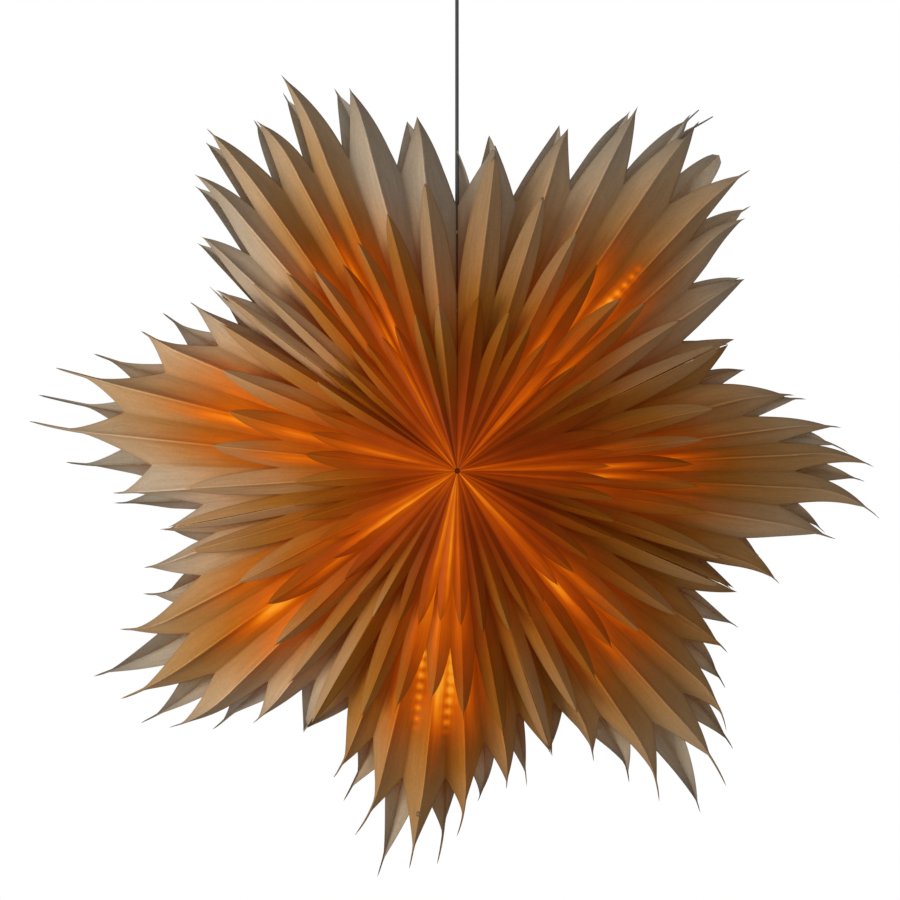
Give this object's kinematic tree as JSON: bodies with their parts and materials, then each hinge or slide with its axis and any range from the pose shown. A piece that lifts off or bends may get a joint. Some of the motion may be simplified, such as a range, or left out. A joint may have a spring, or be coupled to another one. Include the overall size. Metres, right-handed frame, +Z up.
{
  "type": "folded paper star pendant light",
  "caption": "Hanging star lamp with pleated, leaf-cut paper arms round a lit core, on a straight cord from a ceiling cup.",
  "frame": {"origin": "centre of the ceiling plate's upper face, where it meets the ceiling", "axes": "+Z up out of the ceiling face, +X to the right, -Y the side the picture shows"},
  "size_m": [0.7994, 0.1834, 0.944],
  "materials": {
    "leaf_paper": "matt parchment paper",
    "inner_leaf_paper": "matt parchment paper, lit through",
    "board_card": "matt card",
    "clear_plastic": "moulded, gloss",
    "circuit_board": "white solder mask",
    "light_chip": "clear resin over phosphor",
    "hub_plastic": "moulded, fine texture",
    "zinc_steel": "zinc plated",
    "black_plastic": "moulded, satin",
    "black_cord": "smooth satin sheath",
    "plate_steel": "zinc, white paint",
    "cup_metal": "satin black paint"
  },
  "bodies": {
    "ceiling_base": {"ceiling_plate": "plate_steel", "ceiling_hook": "zinc_steel", "hook_nut": "zinc_steel", "ceiling_cup": "cup_metal", "cup_screws": "zinc_steel"},
    "link_ring": {"hanging_ring": "zinc_steel"},
    "cord_drop": {"cord": "black_cord", "cord_clamp": "black_plastic", "clamp_screws": "zinc_steel", "cord_stop": "zinc_steel"},
    "star": {"arm_1_front_leaves": "leaf_paper", "arm_1_back_leaves": "leaf_paper", "arm_1_inner_leaves": "inner_leaf_paper", "arm_2_front_leaves": "leaf_paper", "arm_2_back_leaves": "leaf_paper", "arm_2_inner_leaves": "inner_leaf_paper", "arm_3_front_leaves": "leaf_paper", "arm_3_back_leaves": "leaf_paper", "arm_3_inner_leaves": "inner_leaf_paper", "arm_4_front_leaves": "leaf_paper", "arm_4_back_leaves": "leaf_paper", "arm_4_inner_leaves": "inner_leaf_paper", "arm_5_front_leaves": "leaf_paper", "arm_5_back_leaves": "leaf_paper", "arm_5_inner_leaves": "inner_leaf_paper", "arm_6_front_leaves": "leaf_paper", "arm_6_back_leaves": "leaf_paper", "arm_6_inner_leaves": "inner_leaf_paper", "arm_7_front_leaves": "leaf_paper", "arm_7_back_leaves": "leaf_paper", "arm_7_inner_leaves": "inner_leaf_paper", "arm_board_1": "board_card", "arm_board_2": "board_card", "arm_board_3": "board_card", "arm_board_4": "board_card", "arm_board_5": "board_card", "arm_board_6": "board_card", "closing_board_left": "board_card", "closing_board_right": "board_card", "closing_snaps": "clear_plastic", "arm_1_light_board": "circuit_board", "arm_2_light_board": "circuit_board", "arm_3_light_board": "circuit_board", "arm_4_light_board": "circuit_board", "arm_5_light_board": "circuit_board", "arm_6_light_board": "circuit_board", "arm_7_light_board": "circuit_board", "light_chips": "light_chip", "hub_front": "hub_plastic", "hub_back": "hub_plastic", "hub_screws": "zinc_steel", "driver_board": "circuit_board", "spindle": "zinc_steel", "pole_boss_front": "hub_plastic", "pole_boss_back": "hub_plastic", "cord_gland": "black_plastic"}
  },
  "joints": [
    {"name": "swing_front", "type": "hinge", "parent": "ceiling_base", "child": "link_ring", "pos_m": [0, 0, -0.036], "axis": [1, 0, 0], "range_deg": [-9, 9]},
    {"name": "swing_side", "type": "hinge", "parent": "link_ring", "child": "cord_drop", "pos_m": [0, 0, -0.0502], "axis": [0, 1, 0], "range_deg": [-9, 9]},
    {"name": "star_turn", "type": "hinge", "parent": "cord_drop", "child": "star", "pos_m": [0, 0, -0.56], "axis": [0, 0, 1], "range_deg": [-180, 180]}
  ]
}
